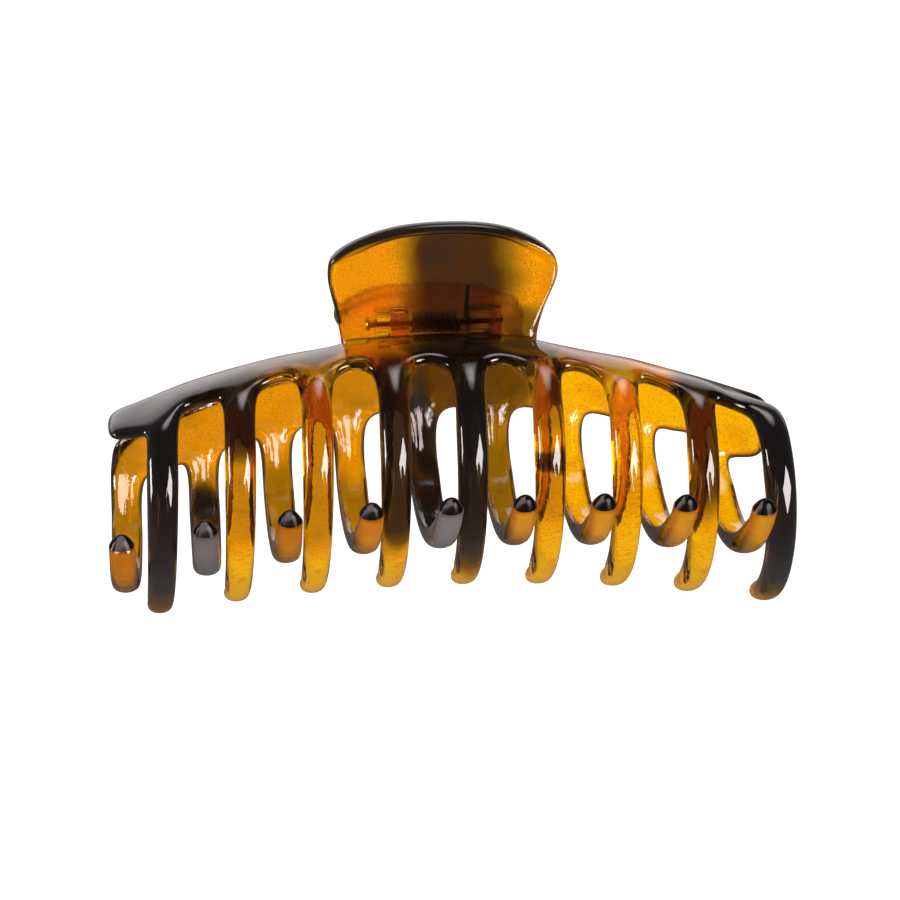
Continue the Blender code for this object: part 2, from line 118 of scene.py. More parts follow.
# how much lower the upper corners are, column by column
CORNER_DROP = (1.1, 0.5, 0.0, 0.0, 0.0, 0.0, 0.0, 0.8, 1.7)
RIGHT_WIDER = (0.25, 0.7, 0.3, 0.0, 0.0)      # the lever's right side stands this much further out
FOLD = 0.8                  # sharpness of the crease and of the rim's foot
LEVER_LINES = (("M", 3), ("L", 4), ("R", 4), ("M", 4), ("L", 5), ("R", 5), ("M", 5), ("L", 6), ("R", 6))
LEVER_BASE_X = (-17.2, -15.2, -8.8, -4.4, -0.2, 4.4, 9.0, 14.4, 16.3)
# half rows from the middle outwards, as x and distance up the lever
LEVER_ROWS = (
    ((0.0, 4.6), (5.0, 4.6), (10.0, 4.6), (16.8, 4.6), (18.2, 4.6)),
    ((0.0, 10.0), (5.2, 10.0), (10.6, 9.8), (18.5, 9.5), (19.9, 9.5)),
    ((0.0, 17.9), (5.4, 17.7), (10.9, 16.8), (17.7, 13.9), (20.0, 13.4)),
    ((0.0, 18.3), (5.5, 18.1), (11.1, 17.2), (17.4, 14.9), (19.8, 14.8)),
    ((0.0, 20.2), (5.6, 20.0), (11.2, 19.1), (16.6, 17.4), (18.9, 16.1)),
)

# hinge
PIN_Y = 9.6
PIN_R = 0.65
PIN_ENDS = (-12.1, 11.5)
HEAD_R, HEAD_T = 1.15, 0.6
PIN_EDGE = 0.2              # bevel of the pin's ends
BORE_R = 0.95
LUG_R = 2.7
LUGS = ((-11.0, -8.8), (5.4, 8.4))

# spring
WIRE_R = 0.42
COIL_R = 1.62
COIL_X = (-4.5, 3.6)
COIL_LEAD = 0.45            # angle in radians by which the coil begins before the leg's foot
TURNS = 8.25
LEG_X = 4.75
LEG_FOOT = (0.1, 0.9)       # the leg's foot: this far off the coil, and this far up the lever
LEG_TOUCH = 3.4             # where it meets the lever, and its end
LEG_REACH = 7.0
LEG_CLEAR = 0.3
LEG_SPLAY = 0.3

# the clip as it lies on its back, on the rear lever's rim and two tips of the front jaw: turned about x
# by this many degrees, then about y, and moved in mm so that the floor is at z = 0 and the middle of its
# outline at x = y = 0
LAY_X = -7.842
LAY_Y = -0.131
LIFT = (-0.385, 8.734, 18.879)


def lay():
    turn = Matrix.Rotation(math.radians(LAY_Y), 4, "Y") @ Matrix.Rotation(math.radians(LAY_X), 4, "X")
    return Matrix.Translation(Vector(LIFT) * MM) @ turn


def lever_ways():
    """Unit vectors up the front lever and out of its face."""
    up = Vector((0.0, math.cos(LEVER_LEAN), math.sin(LEVER_LEAN)))
    out = Vector((0.0, -math.sin(LEVER_LEAN), math.cos(LEVER_LEAN)))
    return up, out


def tooth_x(i):
    return PITCH * (i - (TEETH + 1) / 2) + STAGGER * PITCH


def tooth_set(i, side, q):
    return float(np.interp(q, TOOTH_AT, (FRONT_SET if side > 0 else REAR_SET)[i - 1]))


def fall(x):
    return (x - MID_X) / HALF_X


def tooth_curve(i):
    """A function of the share q of a tooth's length: its centre (x, y, z) and outward direction (y, z)."""
    r = fall(tooth_x(i))
    steps = 240
    ds = 1.0 / steps
    s = np.linspace(0.0, 1.0, steps + 1)
    bend = np.interp(s, (0.0, 0.25, 0.5, 0.75, 1.0), TOOTH_BEND)
    turned = np.concatenate([[0.0], np.cumsum((bend[1:] + bend[:-1]) / 2 * ds)])
    head = np.radians(TOOTH_HEAD + TOOTH_HEAD_RISE * r * r + turned)
    length = TOOTH_LEN + TOOTH_LEN_FALL * r * r
    down = np.concatenate([[0.0], np.cumsum((np.sin(head[1:]) + np.sin(head[:-1])) / 2 * ds)]) * length
    out = np.concatenate([[0.0], np.cumsum((np.cos(head[1:]) + np.cos(head[:-1])) / 2 * ds)]) * length
    y0 = TOOTH_Y + TOOTH_Y_FALL * r ** 2 + TOOTH_Y_FALL4 * r ** 4
    z0 = TOOTH_Z + TOOTH_Z_FALL * r ** 2

    def at(q):
        h = np.interp(q, s, head)
        x = tooth_x(i) * (1 + TOOTH_FAN[0] * q + TOOTH_FAN[1] * q * q)
        return x, y0 - np.interp(q, s, down), z0 + np.interp(q, s, out), math.cos(h), math.sin(h)

    return at


def tooth_width(q):
    return float(np.interp(q, TOOTH_AT, TOOTH_W))


def tooth_depth(q):
    return float(np.interp(q, (0.0, 1.0), TOOTH_T))


def inner_width(q):
    return float(np.interp(q, TOOTH_AT, INNER_W))


def column_lines():
    """The lines down the spine plate: its left end, then both sides of each tooth and each gap's middle."""
    lines = [("E", 0), ("E", 1)]
    for i in range(1, TEETH + 1):
        lines += [("L", i), ("R", i)]
        if i < TEETH:
            lines.append(("M", i))
    return lines


def line_x(line, side):
    kind, i = line
    half = tooth_width(0.0) / 2
    if kind == "E":
        return END_X + END_STEP * i
    if kind == "L":
        return tooth_x(i) + tooth_set(i, side, 0.0) - half
    if kind == "R":
        return tooth_x(i) + tooth_set(i, side, 0.0) + half
    return (tooth_x(i) + tooth_x(i + 1)) / 2


def end_cut(side):
    return FRONT_END_CUT if side > 0 else REAR_END_CUT


def ridge_point(line, x, side):
    """Outer and inner points of the plate's upper row."""
    if line in LEVER_LINES:
        y = CREASE_Y - CREASE_BOW * (x / CREASE_HALF) ** 2 - CREASE_FALL * max(x, 0.0)
        return (y, CREASE_Z), (y - CREASE_EDGE[0], CREASE_EDGE[1])
    y = RIDGE_Y + RIDGE_FALL * fall(x) ** 2
    if line == ("R", TEETH):
        y -= end_cut(side)[1]
    return (y, RIDGE_Z), (y - RIDGE_EDGE[0], RIDGE_EDGE[1])


def lip_point(line, x):
    """Outer and inner points of the plate's lower row."""
    kind, i = line
    if kind in "LR":
        at = tooth_curve(i)
        q = ROOT_SHARE.get(line, TOOTH_ROWS[0])
        _, y, z, ny, nz = at(q)
        t = tooth_depth(q) / 2
        return (y + DOME * t * ny, z + DOME * t * nz), (y - t * ny, z - t * nz)
    if kind == "E":
        y, z = END_LIP_Y, END_LIP_Z
    else:
        r = fall(x)
        y = LIP_Y + LIP_FALL * r ** 2 + LIP_FALL4 * r ** 4 - LIP_LOWER[i - 1]
        z = LIP_Z + LIP_Z_FALL * r ** 2
    return (y + LIP_SLANT[0] * PLATE_T, z + LIP_SLANT[1] * PLATE_T), (y, z)


def cage(side):
    """The coarse cage of a jaw as it stands in front, in mm, with its sharp edges; the rear's side is -1.

    A point's key is its face, outer or inner, its line, and its row: 0 at the ridge, below 0 up the lever.
    """
    bm = bmesh.new()
    sharp = bm.edges.layers.float.new("crease_edge")
    inside = bm.verts.layers.float.new("inside")
    lever = bm.verts.layers.float.new("lever")
    capped = bm.verts.layers.float.new("capped")
    tip = bm.verts.layers.float.new("tip")
    lines = column_lines()
    vert = {}

    def put(key, x, y, z):
        v = bm.verts.new((x, y, z))
        v[inside] = 1.0 if key[0] == "I" else 0.0
        v[lever] = 1.0 if key[2] < 0 else 0.0
        v[capped] = 1.0 if key[2] == TOOTH_END else 0.0
        v[tip] = float(np.interp(key[2], (TIP_FROM, TIP_FULL), (0.0, 1.0)))
        vert[key] = v

    base_x = dict(zip(LEVER_LINES, LEVER_BASE_X))
    for line in lines:
        x = line_x(line, side)
        top = base_x.get(line, x)
        if line == ("R", TEETH):
            top -= end_cut(side)[0]
        (oy, oz), (iy, iz) = ridge_point(line, top, side)
        (py, pz), (qy, qz) = lip_point(line, x)
        put(("O", line, 0), top, oy, oz)
        put(("I", line, 0), top, iy, iz)
        put(("O", line, 2), x, py, pz)
        put(("I", line, 2), x, qy, qz)
        slope = math.atan2(oy - py, pz - oz)
        my = (oy + py) / 2 + PLATE_BULGE * math.cos(slope)
        mz = (oz + pz) / 2 + PLATE_BULGE * math.sin(slope)
        mx = (x + top) / 2
        put(("O", line, 1), mx, my, mz)
        put(("I", line, 1), mx, my - PLATE_T * math.cos(slope), mz - PLATE_T * math.sin(slope))

    # lever
    up, out = lever_ways()
    width = 1.0 if side > 0 else REAR_LEVER_WIDTH
    middle, last = len(LEVER_LINES) // 2, len(LEVER_LINES) - 1
    for m, row in enumerate(LEVER_ROWS):
        for k, line in enumerate(LEVER_LINES):
            x, a = row[abs(k - middle)]
            if m > 1:
                a -= CORNER_DROP[k]
            x = LEVER_SHIFT[0] + LEVER_SHIFT[1] * a + math.copysign(x, k - middle) * width
            if k == last:
                x += RIGHT_WIDER[m]
            rise = (SIDE_RISE if k in (0, last) else RIM_RISE)[m]
            b = a - LEVER_BACK if m == len(LEVER_ROWS) - 1 else a
            for face, along, off in (("O", a, rise), ("I", b, -LEVER_T)):
                y = CREASE_Y + along * up.y + off * out.y
                z = CREASE_Z + along * up.z + off * out.z
                put((face, line, -1 - m), x, y, z)

    # teeth
    rows = list(TOOTH_ROWS[1:]) + [TIP_AT, 1.0]
    ring = 1 + len(rows)
    for i in range(1, TEETH + 1):
        at = tooth_curve(i)
        for j, q in enumerate(rows):
            x, y, z, ny, nz = at(q)
            x += tooth_set(i, side, q)
            w = tooth_width(q) / 2
            t = tooth_depth(q) / 2
            if q == 1.0:
                w, t = w * CAP_W, t * CAP_T
            inner = w * inner_width(q)
            for hand, sx in (("L", -1.0), ("R", 1.0)):
                put(("O", (hand, i), 3 + j), x + sx * w, y + DOME * t * ny, z + DOME * t * nz)
                put(("I", (hand, i), 3 + j), x + sx * inner, y - t * ny, z - t * nz)

    def quad(*keys):
        bm.faces.new([vert[k] for k in keys])

    def both(a, b, r0, r1):
        quad(("O", a, r0), ("O", a, r1), ("O", b, r1), ("O", b, r0))
        quad(("I", a, r0), ("I", b, r0), ("I", b, r1), ("I", a, r1))

    def rim(a, ra, b, rb):
        quad(("O", a, ra), ("O", b, rb), ("I", b, rb), ("I", a, ra))

    for a, b in zip(lines[:-1], lines[1:]):
        both(a, b, 0, 1)
        both(a, b, 1, 2)
        is_tooth = a[0] == "L" and b[0] == "R"
        if not is_tooth:
            rim(a, 2, b, 2)
        in_lever = a in LEVER_LINES and b in LEVER_LINES
        if in_lever:
            for m in range(len(LEVER_ROWS)):
                both(a, b, -m, -m - 1)
            rim(a, -len(LEVER_ROWS), b, -len(LEVER_ROWS))
        else:
            rim(a, 0, b, 0)
    for end in (lines[0], lines[-1]):
        rim(end, 0, end, 1)
        rim(end, 1, end, 2)
    for end in (LEVER_LINES[0], LEVER_LINES[-1]):
        for m in range(len(LEVER_ROWS)):
            rim(end, -m, end, -m - 1)
    for i in range(1, TEETH + 1):
        a, b = ("L", i), ("R", i)
        for j in range(2, ring + 1):
            both(a, b, j, j + 1)
            rim(a, j, a, j + 1)
            rim(b, j, b, j + 1)
        rim(a, ring + 1, b, ring + 1)

    def crease(k0, k1, weight):
        edge = bm.edges.get((vert[k0], vert[k1]))
        edge[sharp] = weight

    for i in range(1, TEETH + 1):
        a, b = ("L", i), ("R", i)
        crease(("O", a, ring), ("O", b, ring), 1.0)
        crease(("I", a, ring), ("I", b, ring), 1.0)
        crease(("O", a, ring), ("I", a, ring), 1.0)
        crease(("O", b, ring), ("I", b, ring), 1.0)
        for j in range(3, ring - 1):
            crease(("I", a, j), ("I", a, j + 1), INNER_CREASE)
            crease(("I", b, j), ("I", b, j + 1), INNER_CREASE)
    for a, b in zip(LEVER_LINES[:-1], LEVER_LINES[1:]):
        crease(("O", a, 0), ("O", b, 0), FOLD)
        if a != LEVER_LINES[0] and b != LEVER_LINES[-1]:
            crease(("O", a, -3), ("O", b, -3), FOLD)
    for a in (LEVER_LINES[0], LEVER_LINES[-1]):
        crease(("O", a, 0), ("I", a, 0), FOLD)
    bmesh.ops.recalc_face_normals(bm, faces=bm.faces)
    return bm


def place(side):
    """The clip frame in mm to the scene in metres; side -1 turns half a turn about y for the rear jaw."""
    turn = Matrix.Rotation(math.pi, 4, "Y") if side < 0 else Matrix.Identity(4)
    return lay() @ Matrix.Scale(MM, 4) @ turn


def ring_points(centre, u, v, r, n):
    angles = [2 * math.pi * k / n for k in range(n)]
    return [centre + u * (r * math.cos(a)) + v * (r * math.sin(a)) for a in angles]


def lug_mesh(arc):
    """Both hinge lugs of the front jaw: ends rounded in this many steps, arms into the lever, bores."""
    bm = bmesh.new()
    up, out = lever_ways()
    pin = Vector((0.0, PIN_Y, 0.0))
    to_plate = (Vector((0.0, CREASE_Y, CREASE_Z)) - pin).dot(out) - LEVER_T * 0.5
    for x0, x1 in LUGS:
        outline = []
        for k in range(arc + 1):
            a = math.pi * k / arc
            outline.append(pin + up * (LUG_R * math.cos(a)) - out * (LUG_R * math.sin(a)))
        outline.append(pin - up * LUG_R + out * to_plate)
        outline.append(pin + up * LUG_R + out * to_plate)
        n = len(outline)
        bore = [pin + (p - pin).normalized() * BORE_R for p in outline]
        rings = []
        for x in (x0, x1):
            outer = [bm.verts.new(p + Vector((x, 0, 0))) for p in outline]
            inner = [bm.verts.new(p + Vector((x, 0, 0))) for p in bore]
            rings.append((outer, inner))
        for k in range(n):
            m = (k + 1) % n
            (o0, i0), (o1, i1) = rings
            bm.faces.new((o0[k], o0[m], o1[m], o1[k]))
            bm.faces.new((i0[k], i1[k], i1[m], i0[m]))
            bm.faces.new((o0[k], i0[k], i0[m], o0[m]))
            bm.faces.new((o1[k], o1[m], i1[m], i1[k]))
    bmesh.ops.recalc_face_normals(bm, faces=bm.faces)
    return bm


def sweep(points, radius, sides):
    """A closed round tube through the points."""
    bm = bmesh.new()
    pts = [Vector(p) for p in points]
    n = len(pts)
    tangents = []
    for k in range(n):
        a = pts[max(k - 1, 0)]
        b = pts[min(k + 1, n - 1)]
        tangents.append((b - a).normalized())
    normal = tangents[0].orthogonal().normalized()
    rings = []
    for k in range(n):
        t = tangents[k]
        normal = (normal - t * normal.dot(t)).normalized()
        rings.append([bm.verts.new(p) for p in ring_points(pts[k], normal, t.cross(normal), radius, sides)])
    for a, b in zip(rings[:-1], rings[1:]):
        for k in range(sides):
            m = (k + 1) % sides
            bm.faces.new((a[k], a[m], b[m], b[k]))
    bm.faces.new(list(reversed(rings[0])))
    bm.faces.new(rings[-1])
    bmesh.ops.recalc_face_normals(bm, faces=bm.faces)
    return bm


def turned(profile, axis_y, sides):
    """A body turned about the pin's axis from (x, radius) pairs, closed at both ends."""
    bm = bmesh.new()
    rings = []
    for x, r in profile:
        c = Vector((x, axis_y, 0.0))
        ring = ring_points(c, Vector((0, 1, 0)), Vector((0, 0, 1)), r, sides)
        rings.append([bm.verts.new(p) for p in ring])
    for a, b in zip(rings[:-1], rings[1:]):
        for k in range(sides):
            m = (k + 1) % sides
            bm.faces.new((a[k], b[k], b[m], a[m]))
    bm.faces.new(rings[0])
    bm.faces.new(list(reversed(rings[-1])))
    bmesh.ops.recalc_face_normals(bm, faces=bm.faces)
    return bm


def leg_points():
    """The front spring leg: off the coil's end and up the inside of the front lever."""
    up, out = lever_ways()
    pin = Vector((LEG_X, PIN_Y, 0.0))
    to_face = (Vector((0.0, CREASE_Y, CREASE_Z)) - pin).dot(out) - LEVER_T
    off = to_face - WIRE_R - LEG_CLEAR
    foot = pin + out * (COIL_R + LEG_FOOT[0]) + up * LEG_FOOT[1]
    touch = pin + out * off + up * LEG_TOUCH
    tip = pin + out * off + up * LEG_REACH + Vector((LEG_SPLAY, 0.0, 0.0))
    return [foot, foot.lerp(touch, 0.5), touch, tip]


def coil_points(per):
    """The coil about the pin in this many steps a turn, and the rear leg: the front one turned about y."""
    turn = Matrix.Rotation(math.pi, 4, "Y")
    out = lever_ways()[1]
    leg = [turn @ p for p in leg_points()]
    pts = [leg[3], leg[2], leg[1]]
    start = math.atan2(-out.z, out.y) - COIL_LEAD
    total = round(TURNS * per)
    sweep_angle = 2 * math.pi * TURNS
    for k in range(total + 1):
        f = k / total
        a = start - sweep_angle * f
        x = COIL_X[0] + (COIL_X[1] - COIL_X[0]) * f
        pts.append(Vector((x, PIN_Y + COIL_R * math.cos(a), COIL_R * math.sin(a))))
    return pts


def pin_mesh(sides):
    """The pin with its head at the left end."""
    head, end = PIN_ENDS
    profile = ((head - HEAD_T, HEAD_R - PIN_EDGE), (head - HEAD_T + PIN_EDGE, HEAD_R), (head, HEAD_R),
               (head, PIN_R), (end - PIN_EDGE, PIN_R), (end, PIN_R - PIN_EDGE))
    return turned(profile, PIN_Y, sides)


# the camera of the photo, in the clip frame in mm: where it stands, where it looks and which way is up
CAMERA_AT = (-56.4, -178.0, 506.5)
CAMERA_LOOK = (0.1064, 0.3051, -0.9463)
CAMERA_UP = (0.037, 0.9499, 0.3104)
CAMERA_LENS, CAMERA_SENSOR = 123.58, 36.0
CAMERA_CLIP = (0.01, 20.0)

# plastic: how much of red, green and blue a metre of it takes away, and its tints
SOAK = (38.0, 37.0, 150.0)
PLASTIC_IOR = 1.5
AMBER = (0.91, 0.45, 0.001)
PALE = (1.0, 0.48, 0.02)         # the tips of the teeth
DEEP = (0.84, 0.255, 0.001)      # the front lever
HONEY = (0.95, 0.66, 0.15)       # the rear lever
ORANGE = (0.78, 0.28, 0.001)
BROWN = (0.28, 0.125, 0.003)
UMBER = (0.07, 0.02, 0.001)
BLACK = (0.075, 0.066, 0.066)    # pigment that lets hardly any light through
# painted sheen: the dark pigment turns lighter grey towards the tips of the teeth for the light they catch
# from the front and below
TIP_SHEEN_GREY = (0.30, 0.275, 0.27)       # the same at the tips of the teeth
# the darkness, from 0 to 1, at which the plastic is orange, brown and umber; past the last it turns opaque
ORANGE_AT, BROWN_AT, UMBER_AT = 0.25, 0.6, 0.85
OPAQUE_CLEAR = 0.05              # share of clear plastic left at a darkness of 1
TIP_PALE = 0.75                  # how far the tips go towards their own tint

# unevenness of the plastic; each noise has a scale per metre, a detail and a roughness
DRIFT_NOISE = (75.0, 3.0, 0.5)
DRIFT = 0.007                    # the clouds' borders wander by up to half of this, in metres
CLOUD_FADE = 0.6                 # a cloud fades outwards over this share of its softness
MOTTLE_NOISE = (160.0, 4.0, 0.6)
MOTTLE_RANGE, MOTTLE_DEPTH = (0.45, 0.75), 0.22     # faint darker patches between the clouds
GRAIN_NOISE = (2900.0, 2.0, 0.6)
GRAIN_RANGE, GRAIN_DEPTH = (0.48, 0.70), 0.4        # specks
GRAIN_FADES, GRAIN_LEFT = (0.1, 0.5), 0.15          # in dark or pale plastic this share of them is left
STREAK_NOISE = (1500.0, 2.0, 0.6)
STREAK_ALONG = (1.0, 0.25, 0.25)
STREAK_GRAIN = 0.25              # share of the specks in the streaks on the inner faces
PEEL_NOISE, PEEL_DEPTH = (320.0, 2.0, 0.5), 0.6     # broad waves all over
BUMP, BUMP_HEIGHT = 0.45, 0.0001
ROUGH, LEVER_ROUGH = 0.035, 0.14    # roughness all over, and what the lever's inner face adds to it

# the round caps on the tips of the rear teeth
CAP_BLACK = (0.006, 0.005, 0.005)
CAP_GLOSS, CAP_ROUGH = 0.12, 0.22
CAP_MARK = 0.02                  # a face belongs to a cap if all its corners are marked more than this

# steel, worn and bare
STEEL_DARK, STEEL_LIGHT = (0.46, 0.43, 0.39), (0.62, 0.60, 0.57)
STEEL_ROUGH = (0.22, 0.38)
WEAR_NOISE, WEAR_RANGE = (1400.0, 4.0, 0.65), (0.3, 0.7)
STEEL_BUMP, STEEL_BUMP_HEIGHT = 0.15, 0.00005

# the lever's clear panel inside its rim, which is painted dark as shade, in mm up the lever: half widths, and
# where the top rim begins
PANEL_UP = (0.0, 4.6, 9.5, 13.0, 16.0, 20.0)
PANEL_HALF = (16.8, 18.0, 19.6, 20.1, 19.2, 17.0)
PANEL_TOP, PANEL_TOP_FALL = 18.25, 0.0115
PANEL_CORNER = 12.0              # the higher, the squarer are the panel's corners
LEFT_RIM = 0.85                  # width in mm of the rim down the left side
RIM_FROM = 2.0                   # the rim begins this far up the lever
RIM_EDGE, RIM_FADE = 0.985, 0.05   # share of the panel's size where the rim begins, and its soft border

# the walls are where the mark of the inner face is between these
WALL_MARK = (0.3, 0.7)
# width in mm of the band of painted shade beside the walls of the front jaw and of the rear one; it fades
# over as much
WALL_SHADE_REACH = {1: 0.5, -1: 0.9}

# colour of the light
LIGHT = (1.0, 0.94, 0.93)
PINK = (1.0, 0.8, 0.74)

# windows as the clip sees them: name, bearing from +Y towards +X, height in degrees, distance, width and
# height in metres, radiance, and whether its border is soft
WINDOWS = (
    ("right_window", 130, 44, 0.9, 0.56, 0.48, 18.0, False),
    ("left_window", -96, 8, 0.9, 0.30, 0.30, 20.0, False),
    ("back_wall", 12, 32, 0.9, 0.6, 0.74, 6.0, True),
)
# two lights on the rear jaw alone: one just over its left half, and a weak one from the front
REAR_TOP = ("rear_top", -100, 86, 0.085, 0.19, 0.15, 14.0)
REAR_TOP_AIM = (-0.065, 0.01, 0.02)
FRONT_FILL = ("front_fill", 180, 12, 0.9, 0.8, 0.5, 3.0)
LIGHT_AIM = (0.0, 0.0, 0.02)     # the middle of the clip
SOFT_BORDER = (0.05, 0.5)        # from the middle of a light to its side, as shares of its size

# brightness of the room, and of the table as the clip mirrors it: in front of it and behind it
ROOM, TABLE_FRONT, TABLE_BACK = 0.08, 0.12, 1.25
TABLE_TURNS = (0.35, 0.55)       # the Y of the directions between which the table brightens
HORIZON = (-0.35, 0.0)           # the Z of the directions between which the table gives way to the room

# stage
FLOOR_HALF, FLOOR_DROP = 4.0, 0.0003
FLOOR_GREY, FLOOR_ROUGH = 0.15, 0.9
FLOOR_GLOW = (1.2, 0.95)         # near the clip and far from it
FLOOR_FALLS = (0.2, 1.2)         # the distances in metres between which the glow falls
TENT_RADIUS, TENT_GLOW = 3.0, 1.0
BOUNCES, GLOSSY_BOUNCES = 14, 6

# dark clouds in the plastic, two of them painted shade: middle x, y, z and reach in x, y, z in the clip frame
# in mm, how dark, how soft
FRONT_CLOUDS = (
    (-53.0, -11.0, 9.0, 13.0, 13.0, 13.0, 1.0, 0.25),     # left end
    (-44.0, -2.0, 7.0, 13.0, 8.0, 9.0, 0.95, 0.3),
    (-50.0, -25.0, 3.0, 8.5, 22.5, 34.0, 1.0, 0.25),      # first tooth
    (-36.0, -9.0, 13.0, 6.5, 11.0, 9.0, 0.88, 0.3),       # second tooth
    (-29.0, -1.0, 7.0, 14.0, 6.0, 7.0, 0.7, 0.4),         # spine left of the lever
    (-22.9, -10.0, 13.0, 5.0, 14.0, 9.0, 0.4, 0.4),       # third tooth
    (-9.8, -20.0, 10.0, 5.5, 24.0, 14.0, 0.88, 0.3),      # fourth tooth
    (6.0, 1.5, 9.0, 15.0, 7.0, 8.0, 0.95, 0.2),           # spine below the lever
    (3.4, -20.0, 4.0, 6.8, 22.0, 26.0, 0.96, 0.25),       # fifth tooth
    (22.0, 1.0, 7.0, 16.0, 6.0, 8.0, 0.65, 0.4),          # spine right of the lever
    (16.4, -10.0, 13.0, 5.0, 9.0, 8.0, 0.5, 0.4),         # sixth tooth, and a dark ring on it
    # painted shade: a dark ring across the sixth tooth, standing in for the dark it refracts there
    (16.6, -21.0, 12.0, 5.0, 2.2, 5.0, 0.85, 0.3),
    (42.8, -15.0, 11.0, 6.5, 19.0, 11.0, 0.8, 0.35),      # eighth tooth
    (52.5, -6.0, 5.0, 13.0, 9.0, 10.0, 0.95, 0.25),       # right end
    (57.0, -24.0, 2.0, 9.0, 24.0, 32.0, 1.0, 0.25),       # ninth tooth
    (3.4, 13.0, 11.0, 11.6, 24.0, 20.0, 0.85, 0.5),       # middle of the lever
    (15.0, 7.0, 5.5, 7.0, 4.0, 4.0, 0.7, 0.5),            # foot of the lever on the right
    # painted shade: darkens the middle of the teeth, which refract the dark room, leaving their tips bright
    (-15.0, -25.0, 10.0, 50.0, 12.0, 16.0, 0.4, 0.45),    # middle of the teeth on the left
)
REAR_CLOUDS = (
    (-57.0, -26.0, 0.0, 6.5, 22.0, 30.0, 0.45, 0.4),      # first tooth
    (-42.1, -31.0, 2.0, 6.5, 18.0, 40.0, 0.98, 0.25),     # second tooth
    (-38.0, -20.0, -4.0, 36.0, 26.0, 60.0, 0.3, 0.4),     # left half
    (-32.0, -22.0, -11.0, 34.0, 13.0, 13.0, 0.55, 0.4),   # middle of the teeth on the left
    (-15.0, -1.0, -7.0, 6.5, 9.0, 8.0, 0.42, 0.4),        # plate above the fourth tooth
    (3.5, -1.5, -8.0, 16.5, 9.0, 9.0, 0.8, 0.35),         # plate in the middle
    (-3.1, -26.0, -2.0, 6.5, 32.0, 40.0, 1.0, 0.25),      # fifth tooth
    (9.9, -20.0, -6.0, 5.5, 22.0, 24.0, 0.6, 0.4),        # sixth tooth
)

# how each jaw is moulded and shaded: its clouds, the tint of its lever and how far the lever goes to it,
# whether the lever has specks, how dark the painted shade on the lever's rim and in the band beside the walls
# is, how far the clouds fade at the tips of the teeth, and how much of their clearness the tips lose
FRONT_LOOK = dict(clouds=FRONT_CLOUDS, lever_tint=DEEP, lever_share=1.0, lever_grain=True,
                  rim_shade_depth=1.0, wall_shade_depth=0.5, tip_fade=0.35, tip_haze=0.0)
REAR_LOOK = dict(clouds=REAR_CLOUDS, lever_tint=HONEY, lever_share=0.9, lever_grain=False,
                 rim_shade_depth=0.0, wall_shade_depth=0.93, tip_fade=0.0, tip_haze=0.8)


def lay_point(x, y, z):
    return lay() @ (Vector((x, y, z)) * MM)


def lay_way(way):
    return (lay().to_3x3() @ Vector(way)).normalized()


def add_object(name, data):
    obj = bpy.data.objects.new(name, data)
    bpy.context.scene.collection.objects.link(obj)
    return obj


def write_mesh(name, bm, matrix):
    """A mesh of what was built in bm, moved by the matrix; bm is freed."""
    bmesh.ops.transform(bm, matrix=matrix, verts=bm.verts)
    mesh = bpy.data.meshes.new(name)
    bm.to_mesh(mesh)
    bm.free()
    return mesh


# materials
class Nodes:
    """Adds nodes to a node tree and links them."""

    def __init__(self, tree):
        self.tree = tree

    def add(self, kind, inputs=None, **settings):
        node = self.tree.nodes.new(kind)
        for key, value in settings.items():
            setattr(node, key, value)
        for key, value in (inputs or {}).items():
            self.set(node, key, value)
        return node

    def set(self, node, key, value):
        if isinstance(value, bpy.types.NodeSocket):
            self.tree.links.new(value, node.inputs[key])
        else:
            node.inputs[key].default_value = value

    def math(self, operation, a, b=0.0, clamp=False):
        node = self.add("ShaderNodeMath", {0: a, 1: b}, operation=operation)
        node.use_clamp = clamp
        return node.outputs[0]

    def rest(self, share):
        """What a share leaves of the whole."""
        return self.math("SUBTRACT", 1.0, share)

    def vector(self, operation, a, b):
        return self.add("ShaderNodeVectorMath", {0: a, 1: b}, operation=operation).outputs[0]

    def length(self, a):
        return self.add("ShaderNodeVectorMath", {0: a}, operation="LENGTH").outputs["Value"]

    def noise(self, where, scale, detail, rough):
        return self.add("ShaderNodeTexNoise", {"Vector": where, "Scale": scale, "Detail": detail,
                                               "Roughness": rough})

    def ramp(self, value, low, high, out_low=0.0, out_high=1.0, smooth=True):
        node = self.add("ShaderNodeMapRange", {"Value": value, "From Min": low, "From Max": high,
                                               "To Min": out_low, "To Max": out_high})
        if smooth:
            node.interpolation_type = "SMOOTHSTEP"
        return node.outputs[0]

    def mix(self, share, a, b):
        node = self.add("ShaderNodeMix", data_type="RGBA")
        self.set(node, 0, share)
        self.set(node, 6, a if isinstance(a, bpy.types.NodeSocket) else (*a, 1.0))
        self.set(node, 7, b if isinstance(b, bpy.types.NodeSocket) else (*b, 1.0))
        return node.outputs[2]


class Surface(Nodes):
    """The nodes of a new material."""

    def __init__(self, name):
        self.mat = bpy.data.materials.new(name)
        self.mat.use_nodes = True
        super().__init__(self.mat.node_tree)
        self.shader = self.tree.nodes["Principled BSDF"]
        self.output = self.tree.nodes["Material Output"]

    def put(self, key, value):
        self.set(self.shader, key, value)

    def spot(self):
        return self.add("ShaderNodeTexCoord").outputs["Object"]

    def mark(self, name):
        """What the mesh's attribute of this name says."""
        return self.add("ShaderNodeAttribute", attribute_name=name).outputs["Fac"]

    def bump(self, height, strength, distance):
        node = self.add("ShaderNodeBump", {"Height": height, "Strength": strength, "Distance": distance})
        self.put("Normal", node.outputs[0])


def cloudiness(n, where, clouds):
    """How dark the darkest cloud makes each place."""
    dark = None
    for x, y, z, rx, ry, rz, depth, soft in clouds:
        away = n.vector("SUBTRACT", where, tuple(lay_point(x, y, z)))
        away = n.vector("DIVIDE", away, (rx * MM, ry * MM, rz * MM))
        cloud = n.ramp(n.length(away), 1.0 - soft, 1.0 + soft * CLOUD_FADE, depth, 0.0)
        dark = cloud if dark is None else n.math("MAXIMUM", dark, cloud)
    return dark


